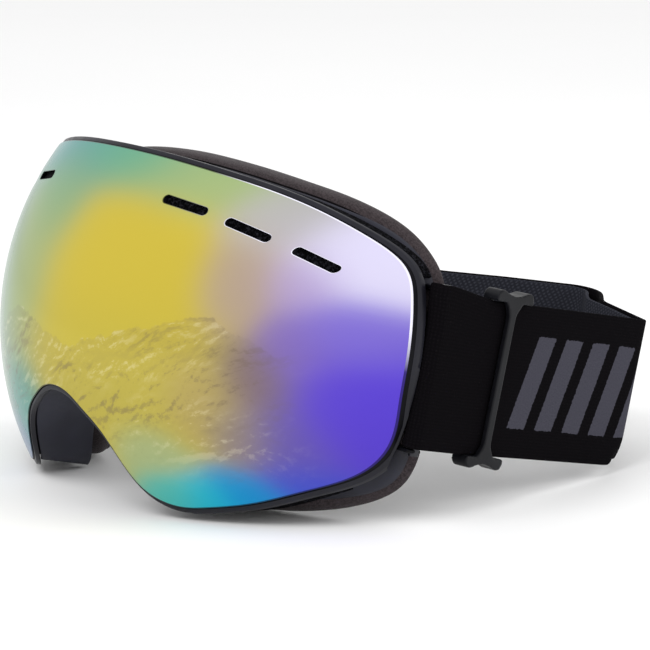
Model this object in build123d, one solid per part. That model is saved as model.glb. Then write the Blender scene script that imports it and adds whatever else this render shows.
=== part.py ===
from build123d import *
import math
import os

# Frameless goggles with a spherical mirrored lens, a soft face frame and a wide elastic strap.
#
# Everything is first laid out in the wearer's frame: the origin is the lens's frontmost point, +X is the
# wearer's left, +Y runs back towards the face and +Z is up. At the end the goggles are leaned back to the
# attitude in which they rest on the two lower lobes of the rim and on the back of the strap.
# Sizes are in millimetres.

# ---- Attitude at rest
LEAN_DEG = 14.3

# ---- Lens and its sphere
LENS_R = 94.6
LENS_INNER_R = 94.0
LENS_THICKNESS = 1.4
OUTLINE_STEPS = 96
COLUMN_LENGTH = 100.0
HALF_LENS = [
    (0, 44.0), (22, 43.5), (44, 41.6), (62, 38.4), (75, 33.2), (83, 27), (87, 17), (89, 0), (88.4, -13),
    (85.8, -26.5), (80, -36.6), (70, -44.5), (58, -51.3), (47, -55.2), (37.6, -56.9), (30, -54.6),
    (24, -47), (18, -38.8), (12, -34.3), (6, -30.8), (0, -29.7),
]
SLOT_WIDTH = 2.6
VENT_FOAM_OVER, VENT_FOAM_END = 4.3, 4.0
SLOTS = [((29.5, 31.7), (41.5, 30.4)), ((49.4, 28.8), (59.3, 26.4)), ((66.7, 24.5), (74.7, 21.5))]

# ---- Depth stations behind the lens, measured along +Y from its inner surface
GASKET_FRONT = 0.05
GASKET_REAR = 3.1
INNER_LENS_FRONT = 3.15
INNER_LENS_REAR = 4.1
BEAD_REAR = 1.8
BEAD_OUT_SIDE, BEAD_OUT_TOP = 0.4, 1.3
LIP_OUTER, LIP_INNER = 0.8, 2.9
BEAD_RELIEF_Y = 68.2
FRAME_FRONT = 4.45
FLANGE_REAR = 6.0

# ---- Inner lens, clear of the slots
HALF_INNER_LENS = [
    (0, 27.5), (30, 26), (50, 22.5), (65, 18), (75, 14), (80.5, 7), (83, -3), (82, -16), (77.5, -28),
    (68, -38.5), (56, -45.5), (46, -49.5), (38, -50.5), (33, -47.5), (28, -40), (21, -32), (12, -27),
    (0, -24.8),
]
GASKET_WIDTH = 5.0

# ---- Face side: domes with their fronts on the centre line bound the rail, the foam layers and the face
RAIL_R, RAIL_Y = 119.0, 30.0
MID_FOAM_R, MID_FOAM_Y = 128.7, 36.0
FACE_R, FACE_Y = 146.0, 44.0
FLEECE = 1.5
RAIL_THICKNESS = 2.0
HALF_FOAM = [
    (0, 46.8), (15, 46.4), (30, 45.4), (45, 43.8), (57, 42.0), (66, 39.4), (73, 35.8), (79, 30.6),
    (83.5, 24.5), (86.2, 16), (87, 4), (87, -12), (86.4, -23), (84.6, -31), (81, -38), (76, -42.8),
    (69, -47), (60, -50.4), (50, -52.6), (42, -53), (35, -50.8), (29, -45), (23, -38.4), (16, -33.8),
    (8, -31.2), (0, -30.3),
]
HALF_PORT = [
    (0, 33.5), (30, 32.5), (52, 29.5), (66, 23.5), (73.5, 13), (75.5, 0), (74, -14), (68.5, -26),
    (59, -35), (48, -39.5), (40, -39), (33, -33.5), (25, -25.5), (14, -20), (0, -18),
]

# ---- Frame wall, nose bridge and vents
WALL_OUTER, WALL_INNER = 2.0, 4.0
VENT_SKIN_OUTER = 0.6
NOSE_HALF_WIDTH = 33.5
NOSE_TOP = -27.5
WINDOWS = [(0, 15), (19.5, 15), (39, 15), (57, 12)]
LOWER_WINDOWS = [(52, 9), (66, 9)]

# ---- Strap pins and lugs
PIN_X, PIN_Y, PIN_R = 88.9, 71.8, 1.5
STRAP_MID_Z = -2.5
PIN_HALF_LENGTH = 25.5
SLOT_HALF_HEIGHT = 23.75
LUG_HEIGHT = 2.4
LUG_REAR_Y = 77.0

# ---- Strap
STRAP_WIDTH = 46.5
WEBBING = 1.5
LINING = 1.2
LOOP_R = PIN_R + 0.1 + WEBBING / 2
END_LENGTH_Y = 90.2
BAND_START_Y = 90.5

# ---- Tri-glide sliders
SLIDER_HALF_LENGTH = 8.7
SLIDER_HALF_HEIGHT = 26.9
SLIDER_WAIST = 25.3
SLIDER_THROAT = 23.7
BAR_WIDTH = 3.0
SLIDER_FRONT_FACE = 3.0
SLIDER_GAP = 1.1


def outline(half, grow_x=0.0, grow_z=None):
    """Closed smooth outline from its +X half, moved outwards along its own normal if asked."""
    if grow_z is None:
        grow_z = grow_x
    whole = half + [(-x, z) for x, z in reversed(half[1:-1])]
    curve = Spline([(x, z, 0) for x, z in whole], periodic=True)
    points = []
    for step in range(OUTLINE_STEPS):
        place = curve @ (step / OUTLINE_STEPS)
        along = curve % (step / OUTLINE_STEPS)
        points.append((place.X - along.Y * grow_x, place.Y + along.X * grow_z))
    return points


def sheet(points, y=-6.0):
    """Flat face across Y with this (x, z) outline."""
    return make_face(Polyline([(x, y, z) for x, z in points], close=True))


def column(points):
    return extrude(sheet(points), amount=COLUMN_LENGTH, dir=(0, 1, 0))


def ring(outer, inner):
    return extrude(sheet(outer) - sheet(inner), amount=COLUMN_LENGTH, dir=(0, 1, 0))


def ball(depth):
    """Everything behind the lens's inner face moved back by this depth."""
    return Pos(0, LENS_THICKNESS + LENS_INNER_R + depth, 0) * Sphere(LENS_INNER_R)


def between(front, rear):
    return ball(front) - ball(rear)


def dome(front_y, radius):
    """Everything behind a sphere whose frontmost point is at front_y on the centre line."""
    return Pos(0, front_y + radius, 0) * Sphere(radius)


def block(x, y, z):
    """A box from its low and high x, y and z."""
    middle = [(a + b) / 2 for a, b in (x, y, z)]
    return Pos(*middle) * Box(x[1] - x[0], y[1] - y[0], z[1] - z[0])


def both_sides(solid):
    return solid + mirror(solid, Plane.YZ)


def on_lens(x, z):
    return Vector(x, LENS_R - math.sqrt(LENS_R**2 - x**2 - z**2), z)


# ---------------------------------------------------------------- lens unit
def slot_cutter(ends):
    """One slot, cut square to the sphere."""
    start, end = (on_lens(*place) for place in ends)
    middle = (start + end) / 2
    outwards = middle - Vector(0, LENS_R, 0)
    plane = Plane(origin=middle, x_dir=end - start, z_dir=outwards)
    length = (end - start).length
    return extrude(plane * SlotCenterToCenter(length, SLOT_WIDTH), amount=6, both=True)


def outer_lens():
    shell = column(outline(HALF_LENS)) & (Pos(0, LENS_R, 0) * Sphere(LENS_R))
    shell -= ball(0)
    for ends in SLOTS:
        shell -= both_sides(slot_cutter(ends))
    return shell


def inner_lens():
    return column(outline(HALF_INNER_LENS)) & between(INNER_LENS_FRONT, INNER_LENS_REAR)


def lens_gasket():
    return ring(outline(HALF_INNER_LENS, -0.3), outline(HALF_INNER_LENS, -GASKET_WIDTH)) & between(
        GASKET_FRONT, GASKET_REAR
    )


def lens_vent_foam():
    """Open-cell strip behind the three slots of the wearer's left side."""
    ends = [place for pair in SLOTS for place in pair]
    (first_x, first_z), (last_x, last_z) = ends[0], ends[-1]
    upper = [(first_x - VENT_FOAM_END, first_z + VENT_FOAM_OVER)]
    upper += [(x, z + VENT_FOAM_OVER) for x, z in ends]
    upper.append((last_x + VENT_FOAM_END, last_z + VENT_FOAM_OVER / 2))
    lower = [(last_x + VENT_FOAM_END, last_z - VENT_FOAM_OVER)]
    lower += [(x, z - VENT_FOAM_OVER) for x, z in reversed(ends)]
    lower.append((first_x - VENT_FOAM_END, first_z - VENT_FOAM_OVER))
    shape = make_face(Polyline([(x, 0, z) for x, z in upper + lower], close=True))
    strip = extrude(shape, amount=COLUMN_LENGTH, dir=(0, 1, 0))
    clear = column(outline(HALF_LENS, -LIP_INNER - 0.3)) - column(outline(HALF_INNER_LENS, 0.3))
    return strip & clear & between(GASKET_FRONT, GASKET_REAR)


def lens_carrier():
    """Bead round the lens's edge, and the lip behind it that snaps into the frame."""
    inside = outline(HALF_LENS, -LIP_INNER)
    bead = ring(outline(HALF_LENS, BEAD_OUT_SIDE, BEAD_OUT_TOP), inside) & between(GASKET_FRONT, BEAD_REAR)
    lip = ring(outline(HALF_LENS, -LIP_OUTER), inside) & between(BEAD_REAR - 0.2, INNER_LENS_REAR)
    return bead + lip - both_sides(block((83, 96), (BEAD_RELIEF_Y, 80), (-33, 28)))


# ---------------------------------------------------------------- frame
def lugs():
    """The two ears on the wearer's left that hold the strap pin."""
    ears = []
    for low in (STRAP_MID_Z + SLOT_HALF_HEIGHT, STRAP_MID_Z - SLOT_HALF_HEIGHT - LUG_HEIGHT):
        level = (low, low + LUG_HEIGHT)
        root = block((82.5, 87.4), (58, LUG_REAR_Y), level) & ball(FRAME_FRONT)
        ears.append(root + block((86.8, 91.4), (69.4, LUG_REAR_Y), level))
    return ears[0] + ears[1]


def strap_pocket(reach=26.0):
    """Room beside the face foam for the webbing that turns round the pin."""
    low, high = STRAP_MID_Z - SLOT_HALF_HEIGHT, STRAP_MID_Z + SLOT_HALF_HEIGHT
    front, rear = 66.0, 66.0 + reach
    corner = Polyline([(85.3, front), (99, front), (99, rear), (64, rear), (85.3, front + 3)], close=True)
    return extrude(Pos(0, 0, low) * make_face(corner), amount=high - low, dir=(0, 0, 1))


def pin(grow=0.0):
    return Pos(PIN_X, PIN_Y, STRAP_MID_Z) * Cylinder(PIN_R + grow, 2 * (PIN_HALF_LENGTH + grow))


def nose_zone():
    return block((-NOSE_HALF_WIDTH, NOSE_HALF_WIDTH), (0, 80), (-70, NOSE_TOP))


def wall():
    room = ball(FRAME_FRONT) - dome(RAIL_Y - RAIL_THICKNESS / 2, RAIL_R)
    return ring(outline(HALF_LENS, -WALL_OUTER), outline(HALF_LENS, -WALL_INNER)) & room


def vent_windows():
    """Windows through the side wall, along the brow and under each cheek."""
    cutters = None
    for x, width in WINDOWS:
        cutter = block((x - width / 2, x + width / 2), (0, 80), (28, 60)) & ball(FLANGE_REAR + 1.0)
        cutter -= dome(RAIL_Y - RAIL_THICKNESS - 1.0, RAIL_R)
        cutters = both_sides(cutter) if cutters is None else cutters + both_sides(cutter)
    for x, width in LOWER_WINDOWS:
        cutter = block((x - width / 2, x + width / 2), (0, 80), (-70, -38)) & ball(FLANGE_REAR + 1.0)
        cutter -= dome(RAIL_Y - RAIL_THICKNESS - 1.0, RAIL_R)
        cutters += both_sides(cutter)
    return cutters


def frame_shell():
    flange = ring(outline(HALF_LENS, -0.8), outline(HALF_LENS, -7.0)) & between(FRAME_FRONT, FLANGE_REAR)
    flange -= dome(RAIL_Y, RAIL_R)
    rail = ring(outline(HALF_FOAM, -0.8), outline(HALF_PORT)) & ball(FRAME_FRONT)
    rail &= dome(RAIL_Y - RAIL_THICKNESS, RAIL_R) - dome(RAIL_Y, RAIL_R)
    shell = flange + rail + (wall() - nose_zone())
    shell -= vent_windows()
    shell -= both_sides(strap_pocket())
    shell += both_sides(lugs())
    return shell - both_sides(pin(0.05))


def nose_bridge():
    """Arched wall between the lens and the face foam, over the wearer's nose."""
    room = ball(FLANGE_REAR + 0.05) - dome(RAIL_Y - RAIL_THICKNESS - 0.05, RAIL_R)
    inside = NOSE_HALF_WIDTH - 0.1
    body = ring(outline(HALF_LENS, -WALL_OUTER), outline(HALF_LENS, -WALL_INNER)) & room
    return body & block((-inside, inside), (0, 80), (-70, NOSE_TOP - 0.1))


def vent_foam_band():
    """Open-cell skin over the outside of the wall, in the channel between the flange and the rail."""
    room = ball(FLANGE_REAR + 0.3) - dome(RAIL_Y - RAIL_THICKNESS - 0.3, RAIL_R)
    outside = outline(HALF_LENS, -VENT_SKIN_OUTER)
    return ring(outside, outline(HALF_LENS, -WALL_OUTER + 0.1)) & room


def top_vent_foam():
    return vent_foam_band() & block((-72, 72), (0, 80), (30, 60))


def lower_vent_foam():
    return vent_foam_band() & block((45, 73), (0, 80), (-60, -30))


# ---------------------------------------------------------------- face foam
def foam_layer(front, rear, tuck):
    """One layer of the face foam between two domes, its edge tucked in by a little."""
    layer = ring(outline(HALF_FOAM, -tuck), outline(HALF_PORT, tuck)) & (dome(*front) - dome(*rear))
    return layer - both_sides(strap_pocket() + lugs_room())


def lugs_room():
    """Notch in the foam beside the lugs and the pocket between them."""
    reach = SLOT_HALF_HEIGHT + LUG_HEIGHT + 0.3
    return block((82.2, 96), (50, 96), (STRAP_MID_Z - reach, STRAP_MID_Z + reach))


# ---------------------------------------------------------------- strap
def ribbon(stations, thickness, width):
    """Webbing on edge through (x, y, middle height) stations, as flat panels mitred at each station."""
    sections = []
    for index, (x, y, z) in enumerate(stations):
        before = stations[max(index - 1, 0)]
        after = stations[min(index + 1, len(stations) - 1)]
        into = Vector(x - before[0], y - before[1], 0)
        out = Vector(after[0] - x, after[1] - y, 0)
        into = into.normalized() if into.length > 0 else out.normalized()
        out = out.normalized() if out.length > 0 else into
        along = (into + out).normalized()
        across = Vector(-along.Y, along.X, 0)
        half = thickness / 2 / max(along.dot(into), 0.5)
        low, high = z - width / 2, z + width / 2
        corners = [(side, level) for side, level in ((-half, low), (half, low), (half, high), (-half, high))]
        points = [Vector(x, y, 0) + across * side + Vector(0, 0, level) for side, level in corners]
        sections.append(make_face(Polyline(points, close=True)))
    return loft(sections, ruled=True)


def end_loop(inner_far, inner_near, outer_near, outer_far, start_deg, sweep_deg):
    """Webbing from its inner layer, round the pin and out again, in the wearer's left-hand sense."""
    stations = [(*inner_far, STRAP_MID_Z), (*inner_near, STRAP_MID_Z)]
    turns = 8
    for step in range(turns + 1):
        angle = math.radians(start_deg + sweep_deg * step / turns)
        stations.append(
            (PIN_X + LOOP_R * math.cos(angle), PIN_Y + LOOP_R * math.sin(angle), STRAP_MID_Z)
        )
    stations += [(*outer_near, STRAP_MID_Z), (*outer_far, STRAP_MID_Z)]
    return ribbon(stations, WEBBING, STRAP_WIDTH)


LEFT_SLIDER = (86.3, 99.5)
LEFT_BAND = [(87.87, BAND_START_Y, -2.4), (*LEFT_SLIDER, -2.3), (77.5, 155.8, -1.1)]
FOLD = [(75.6, 166.8, -0.9), (74.6, 168.6, -0.8), (72.6, 169.6, -0.7)]
BACK = [(47.5, 175.4, 2.0), (41.0, 181.0, 3.4), (36.6, 184.9, 4.0), (32.2, 187.6, 4.5), (28.0, 188.3, 4.8)]
RIGHT_BAND = [
    (24.2, 186.2, 4.9), (7.2, 169.1, 2.9), (-7.0, 155.0, 0.9), (-30.0, 132.2, -1.0), (-65.7, 96.9, -2.3),
    (-72.2, BAND_START_Y, -2.4),
]
RIGHT_SLIDER = (-65.7, 96.9)
LINING_PATH = [
    (75.7, 157.0, -1.1), (74.0, 164.3, -0.9), (72.6, 166.0, -0.8), (70.4, 166.9, -0.7), (56.0, 170.3, 1.0),
    (43.0, 173.6, 2.2), (38.4, 177.0, 3.2), (33.6, 181.6, 4.0), (30.4, 183.9, 4.4), (27.4, 184.2, 4.6),
    (24.4, 182.6, 4.7), (9.0, 167.3, 2.9), (-5.2, 153.2, 0.9), (-23.0, 135.6, -0.4),
]


def slider():
    """Tri-glide about its own middle: X is outwards, Y along the webbing, Z up."""
    end, waist = SLIDER_HALF_HEIGHT, SLIDER_WAIST
    reach = SLIDER_HALF_LENGTH
    top = [(-reach, end - 3.4), (-reach + 0.9, end - 0.6), (-reach + 2.4, end), (-3.0, waist + 0.3)]
    top.append((0, waist))
    quarter = top + [(-y, z) for y, z in reversed(top[:-1])]
    outline = quarter + [(y, -z) for y, z in reversed(quarter)]
    plate = extrude(
        make_face(Polyline([(0, y, z) for y, z in outline], close=True)),
        amount=SLIDER_FRONT_FACE, dir=(1, 0, 0), both=True,
    )
    throat = (-SLIDER_THROAT, SLIDER_THROAT)
    plate -= block((-SLIDER_GAP, SLIDER_GAP), (-reach - 1, reach + 1), throat)
    side = BAR_WIDTH / 2
    for sign in (-1, 1):
        gap = sorted((sign * side, sign * (reach + 1)))
        plate -= block((-SLIDER_GAP, SLIDER_FRONT_FACE + 1), gap, throat)
    plate -= block((-SLIDER_FRONT_FACE - 1, SLIDER_GAP), (BAR_WIDTH - reach, reach - BAR_WIDTH), throat)
    return plate


def placed_slider(middle, along, height):
    plane = Plane(origin=(*middle, height), x_dir=(along[1], -along[0], 0), z_dir=(0, 0, 1))
    return plane * slider()


def direction(start, end):
    length = math.hypot(end[0] - start[0], end[1] - start[1])
    return ((end[0] - start[0]) / length, (end[1] - start[1]) / length)


# ---------------------------------------------------------------- the assembly
def build():
    left_vent = lens_vent_foam()
    lower_vent = lower_vent_foam()
    left_pin = pin()
    rail = (RAIL_Y + 0.05, RAIL_R)
    mid_foam = (MID_FOAM_Y, MID_FOAM_R)
    fleece_front = (FACE_Y - FLEECE, FACE_R)
    return {
        "outer_lens": outer_lens(),
        "inner_lens": inner_lens(),
        "lens_gasket": lens_gasket(),
        "lens_vent_foam_left": left_vent,
        "lens_vent_foam_right": mirror(left_vent, Plane.YZ),
        "lens_carrier": lens_carrier(),
        "frame_shell": frame_shell(),
        "nose_bridge": nose_bridge(),
        "top_vent_foam": top_vent_foam(),
        "lower_vent_foam_left": lower_vent,
        "lower_vent_foam_right": mirror(lower_vent, Plane.YZ),
        "strap_pin_left": left_pin,
        "strap_pin_right": mirror(left_pin, Plane.YZ),
        "face_foam_base": foam_layer(rail, mid_foam, 0.4),
        "face_foam_soft": foam_layer((MID_FOAM_Y + 0.05, MID_FOAM_R), fleece_front, 0.2),
        "face_fleece": foam_layer((FACE_Y - FLEECE + 0.05, FACE_R), (FACE_Y, FACE_R), 0.0),
        "strap_end_left": end_loop((86.1, 88.6), (87.3, 79.5), (89.8, 79.5), (87.92, END_LENGTH_Y), 180, 180),
        "strap_end_right": mirror(
            end_loop((73.9, 86.0), (83.4, 77.3), (84.9, 78.8), (72.5, END_LENGTH_Y), 225, 180), Plane.YZ
        ),
        "strap_webbing": ribbon(LEFT_BAND + FOLD + BACK + RIGHT_BAND, WEBBING, STRAP_WIDTH),
        "strap_lining": ribbon(LINING_PATH, LINING, STRAP_WIDTH - 1),
        "slider_left": placed_slider(LEFT_SLIDER, direction(LEFT_BAND[0], LEFT_BAND[2]), -2.3),
        "slider_right": placed_slider(RIGHT_SLIDER, direction(RIGHT_BAND[-3], RIGHT_BAND[-1]), -2.3),
    }


def at_rest(nodes):
    """Lean every node back and put the origin under the middle of the whole, on the surface it rests on."""
    leaned = {name: Rot(-LEAN_DEG, 0, 0) * solid for name, solid in nodes.items()}
    box = Compound(children=[Compound(solid.solids()) for solid in leaned.values()]).bounding_box()
    shift = Pos(-(box.min.X + box.max.X) / 2, -(box.min.Y + box.max.Y) / 2, -box.min.Z)
    print("origin shift", shift.position, "size", box.size)
    return {name: shift * solid for name, solid in leaned.items()}


os.makedirs("parts", exist_ok=True)
for name, solid in at_rest(build()).items():
    export_step(Compound(solid.solids()), f"parts/{name}.step")
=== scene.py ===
import math

import bmesh
import bpy
import numpy as np
from mathutils import Matrix, Vector
from mathutils.geometry import delaunay_2d_cdt


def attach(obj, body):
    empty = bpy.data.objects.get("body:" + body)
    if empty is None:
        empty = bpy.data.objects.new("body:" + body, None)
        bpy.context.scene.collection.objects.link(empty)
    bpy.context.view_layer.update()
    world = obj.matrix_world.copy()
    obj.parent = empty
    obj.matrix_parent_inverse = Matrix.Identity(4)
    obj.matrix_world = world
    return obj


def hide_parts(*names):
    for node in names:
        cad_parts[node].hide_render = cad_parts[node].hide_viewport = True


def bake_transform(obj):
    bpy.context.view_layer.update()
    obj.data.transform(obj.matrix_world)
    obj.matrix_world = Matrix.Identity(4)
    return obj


# Frameless mirrored goggles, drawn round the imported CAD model. Lengths are in millimetres in the wearer's
# frame (X to the wearer's left, Y back to the face, Z up), and row() turns them into the row frame in
# metres. UVs, and what the materials draw with them, are in metres.

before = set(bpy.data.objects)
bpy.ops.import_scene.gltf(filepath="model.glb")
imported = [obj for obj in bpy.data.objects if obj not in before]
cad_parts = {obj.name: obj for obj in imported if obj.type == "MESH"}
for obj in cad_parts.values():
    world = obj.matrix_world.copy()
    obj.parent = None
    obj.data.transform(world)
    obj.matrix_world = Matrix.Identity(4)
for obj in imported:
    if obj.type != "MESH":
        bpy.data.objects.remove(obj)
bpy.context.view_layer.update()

# ---------------------------------------------------------------- driving sizes
LEAN = math.radians(14.3)
SHIFT = np.array([0.000388, -93.6107, 66.6693])
LENS_R, LENS_INNER_R, LENS_THICKNESS = 94.6, 94.0, 1.4
AROUND = 720
HALF_LENS = [
    (0, 44.0), (22, 43.5), (44, 41.6), (62, 38.4), (75, 33.2), (83, 27), (87, 17), (89, 0), (88.4, -13),
    (85.8, -26.5), (80, -36.6), (70, -44.5), (58, -51.3), (47, -55.2), (37.6, -56.9), (30, -54.6),
    (24, -47), (18, -38.8), (12, -34.3), (6, -30.8), (0, -29.7),
]
HALF_FOAM = [
    (0, 46.8), (15, 46.4), (30, 45.4), (45, 43.8), (57, 42.0), (66, 39.4), (73, 35.8), (79, 30.6),
    (83.5, 24.5), (86.2, 16), (87, 4), (87, -12), (86.4, -23), (84.6, -31), (81, -38), (76, -42.8),
    (69, -47), (60, -50.4), (50, -52.6), (42, -53), (35, -50.8), (29, -45), (23, -38.4), (16, -33.8),
    (8, -31.2), (0, -30.3),
]
HALF_PORT = [
    (0, 33.5), (30, 32.5), (52, 29.5), (66, 23.5), (73.5, 13), (75.5, 0), (74, -14), (68.5, -26),
    (59, -35), (48, -39.5), (40, -39), (33, -33.5), (25, -25.5), (14, -20), (0, -18),
]
SLOT_WIDTH = 2.6
SLOTS = [((29.5, 31.7), (41.5, 30.4)), ((49.4, 28.8), (59.3, 26.4)), ((66.7, 24.5), (74.7, 21.5))]
WINDOWS = [(0, 15), (19.5, 15), (39, 15), (57, 12)]
LOWER_WINDOWS = [(52, 9), (66, 9)]
NOSE_HALF_WIDTH, NOSE_TOP = 33.5, -27.5
PIN_X, PIN_Y = 88.9, 71.8
STRAP_MID_Z, STRAP_WIDTH, WEBBING, LINING = -2.5, 46.5, 1.5, 1.2
LOOP_R = 2.35
LEFT_SLIDER, RIGHT_SLIDER, SLIDER_MID_Z = (86.3, 99.5), (-65.7, 96.9), -2.3
FOLD = [(75.6, 166.8, -0.9), (74.6, 168.6, -0.8), (72.6, 169.6, -0.7)]
BACK = [(47.5, 175.4, 2.0), (41.0, 181.0, 3.4), (36.6, 184.9, 4.0), (32.2, 187.6, 4.5), (28.0, 188.3, 4.8)]
RIGHT_BAND = [
    (24.2, 186.2, 4.9), (7.2, 169.1, 2.9), (-7.0, 155.0, 0.9), (-30.0, 132.2, -1.0), (-65.7, 96.9, -2.3),
]
LINING_PATH = [
    (75.7, 157.0, -1.1), (74.0, 164.3, -0.9), (72.6, 166.0, -0.8), (70.4, 166.9, -0.7), (56.0, 170.3, 1.0),
    (43.0, 173.6, 2.2), (38.4, 177.0, 3.2), (33.6, 181.6, 4.0), (30.4, 183.9, 4.4), (27.4, 184.2, 4.6),
    (24.4, 182.6, 4.7), (9.0, 167.3, 2.9), (-5.2, 153.2, 0.9), (-23.0, 135.6, -0.4),
]

SIDES = ((1, "left"), (-1, "right"))

# Bevels of the lens's rim and slots, and how far the slots' drop
RIM_BEVEL, SLOT_BEVEL, SLOT_DROP = 0.22, 0.16, 0.14

# Front and radius of the spherical faces of the rail and the foam layers, and how far back the temples stand
RAIL_DOME = (28.0, 119.0)
BASE_FRONT, BASE_REAR = (28.7, 119.0), (29.6, 119.2)
CUSHION_FRONT, CUSHION_REAR, FLEECE_REAR = (29.2, 119.0), (42.5, 146.0), (43.6, 146.0)
FRONT_SETBACK, REAR_SETBACK = 4.0, 4.2
TEMPLE_START, TEMPLE_RUN = 56, 28

# Beyond this X the strap's fold stands beside the carrier and the wall, which end short of it
BESIDE_STRAP_X, CARRIER_LIMIT_Y, WALL_LIMIT_Y = 82, 67.4, 65.6

WALL_OFFSET, WALL_FRONT = -3.0, 5.9
LUG_X, LUG_Y, LUG_THICKNESS = (81.0, 90.2), (68.0, 73.4), 1.2
LUG_LOW_Z = {"upper": 20.9, "lower": -27.1}

# The runs of webbing that the sliders ride on, as (x, y)
LEFT_RUN = ((87.87, 90.5), (77.5, 155.8))
RIGHT_RUN = ((-30.0, 132.2), (-72.2, 90.5))

# The motif along the webbing, in metres from the front of the left-hand pin
MOTIF_START, MOTIF_END, MOTIF_PITCH, MOTIF_HALF_HEIGHT = 0.066, 0.200, 0.0135, 0.0142

# Where the coating turns each colour: middle x and z, reach in x and z, colour. The pale zones near the top at
# x 60 and x 78 are a painted highlight.
COATING_AND_HIGHLIGHT = [
    (20, 4, 28, 24, (0.79, 0.71, 0.25)),
    (22, -20, 28, 15, (0.74, 0.69, 0.28)),
    (-24, 4, 15, 22, (0.62, 0.68, 0.46)),
    (-17, 27, 13, 12, (0.50, 0.65, 0.50)),
    (-50, -5, 18, 36, (0.52, 0.63, 0.54)),
    (-75, 0, 18, 50, (0.42, 0.58, 0.58)),
    (-28, 44, 26, 12, (0.30, 0.58, 0.60)),
    (8, 44, 22, 9, (0.40, 0.66, 0.54)),
    (38, 42, 16, 9, (0.62, 0.70, 0.48)),
    (60, 33, 9, 9, (0.70, 0.69, 0.70)),
    (59, 12, 8, 12, (0.68, 0.60, 0.56)),
    (78, 25, 11, 10, (0.86, 0.84, 0.95)),
    (70, 15, 6, 8, (0.68, 0.60, 0.80)),
    (80, 4, 8, 8, (0.50, 0.43, 0.82)),
    (71, -2, 6, 8, (0.51, 0.42, 0.72)),
    (64, -15, 7, 9, (0.46, 0.38, 0.44)),
    (52, -23, 8, 9, (0.70, 0.62, 0.38)),
    (61, -31, 6, 7, (0.55, 0.50, 0.50)),
    (84, -20, 12, 17, (0.34, 0.24, 0.80)),
    (70, -31, 7, 8, (0.40, 0.34, 0.66)),
    (73, -44, 8, 7, (0.26, 0.32, 0.80)),
    (59, -50, 8, 6, (0.06, 0.56, 0.80)),
    (47, -52, 7, 5, (0.10, 0.71, 0.80)),
    (36, -43, 8, 6, (0.64, 0.70, 0.50)),
    (39, -52, 6, 4, (0.30, 0.72, 0.68)),
    (-24, -38, 12, 10, (0.34, 0.62, 0.58)),
    (-36, -53, 12, 9, (0.36, 0.44, 0.62)),
]
COATING_TONE = 0.87

# The hill range painted into the lens as a reflection: the slant of its strata, then each peak's place and
# height, in metres, and how steeply it falls to each side
STRATA = math.radians(38)
PEAKS = [
    (0.051, 0.0015, 0.50, 0.42),
    (0.033, -0.006, 0.42, 0.5),
    (-0.024, -0.008, 0.5, 0.30),
    (0.076, -0.004, 0.3, 0.3),
]


# ---------------------------------------------------------------- geometry helpers
def row(points):
    """Wearer's frame in millimetres to the row frame in metres."""
    p = np.asarray(points, float).reshape(-1, 3)
    c, s = math.cos(LEAN), math.sin(LEAN)
    leaned = np.column_stack([p[:, 0], c * p[:, 1] + s * p[:, 2], c * p[:, 2] - s * p[:, 1]])
    return (leaned + SHIFT) / 1000


def row_point(x, y, z):
    return tuple(row([(x, y, z)])[0])


def closed_curve(half, count=AROUND):
    """Points evenly spaced along the smooth closed curve through a half outline and its mirror image."""
    knots = np.array(half + [(-x, z) for x, z in reversed(half[1:-1])], float)
    n = len(knots)
    gap = np.linalg.norm(np.roll(knots, -1, 0) - knots, axis=1)
    system, right = np.zeros((n, n)), np.zeros((n, 2))
    for i in range(n):
        before, after = gap[i - 1], gap[i]
        system[i, i - 1] += before
        system[i, i] += 2 * (before + after)
        system[i, (i + 1) % n] += after
        slope_after = (knots[(i + 1) % n] - knots[i]) / after
        right[i] = 6 * (slope_after - (knots[i] - knots[i - 1]) / before)
    bend = np.linalg.solve(system, right)
    dense = []
    for i in range(n):
        j, h = (i + 1) % n, gap[i]
        t = np.linspace(0, h, 60, endpoint=False)[:, None]
        cubic = bend[i] * (h - t) ** 3 / (6 * h) + bend[j] * t**3 / (6 * h)
        cubic += (knots[i] / h - bend[i] * h / 6) * (h - t) + (knots[j] / h - bend[j] * h / 6) * t
        dense.append(cubic)
    dense = np.concatenate(dense + [knots[:1]])
    return even(dense, count)


def even(line, count):
    run = np.concatenate([[0], np.cumsum(np.linalg.norm(np.diff(line, axis=0), axis=1))])
    at = np.linspace(0, run[-1], count, endpoint=False)
    return np.column_stack([np.interp(at, run, line[:, k]) for k in range(line.shape[1])])


def grown(loop, out_x, out_z=None):
    """A closed (x, z) loop moved along its outward normal."""
    out_z = out_x if out_z is None else out_z
    along = np.roll(loop, -2, 0) - np.roll(loop, 2, 0)
    along /= np.linalg.norm(along, axis=1)[:, None]
    return loop + np.column_stack([-along[:, 1] * out_x, along[:, 0] * out_z])


def sphere_y(loop, front, radius):
    return front + radius - np.sqrt(radius**2 - (loop**2).sum(1))


def ball_y(loop, depth):
    return sphere_y(loop, LENS_THICKNESS + depth, LENS_INNER_R)


def placed(loop, y):
    return np.column_stack([loop[:, 0], np.broadcast_to(y, len(loop)), loop[:, 1]])


def rounded(profile, radius, steps=4):
    """A polygon with its corners rounded by parabolas that start this far from each corner."""
    p = np.array(profile, float)
    out = []
    for i in range(len(p)):
        a, b, c = p[i - 1], p[i], p[(i + 1) % len(p)]
        before, after = np.linalg.norm(a - b), np.linalg.norm(c - b)
        start = b + (a - b) * min(radius / before, 0.45)
        end = b + (c - b) * min(radius / after, 0.45)
        for t in np.linspace(0, 1, steps + 1):
            out.append((1 - t) ** 2 * start + 2 * t * (1 - t) * b + t**2 * end)
    return np.array(out)


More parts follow.
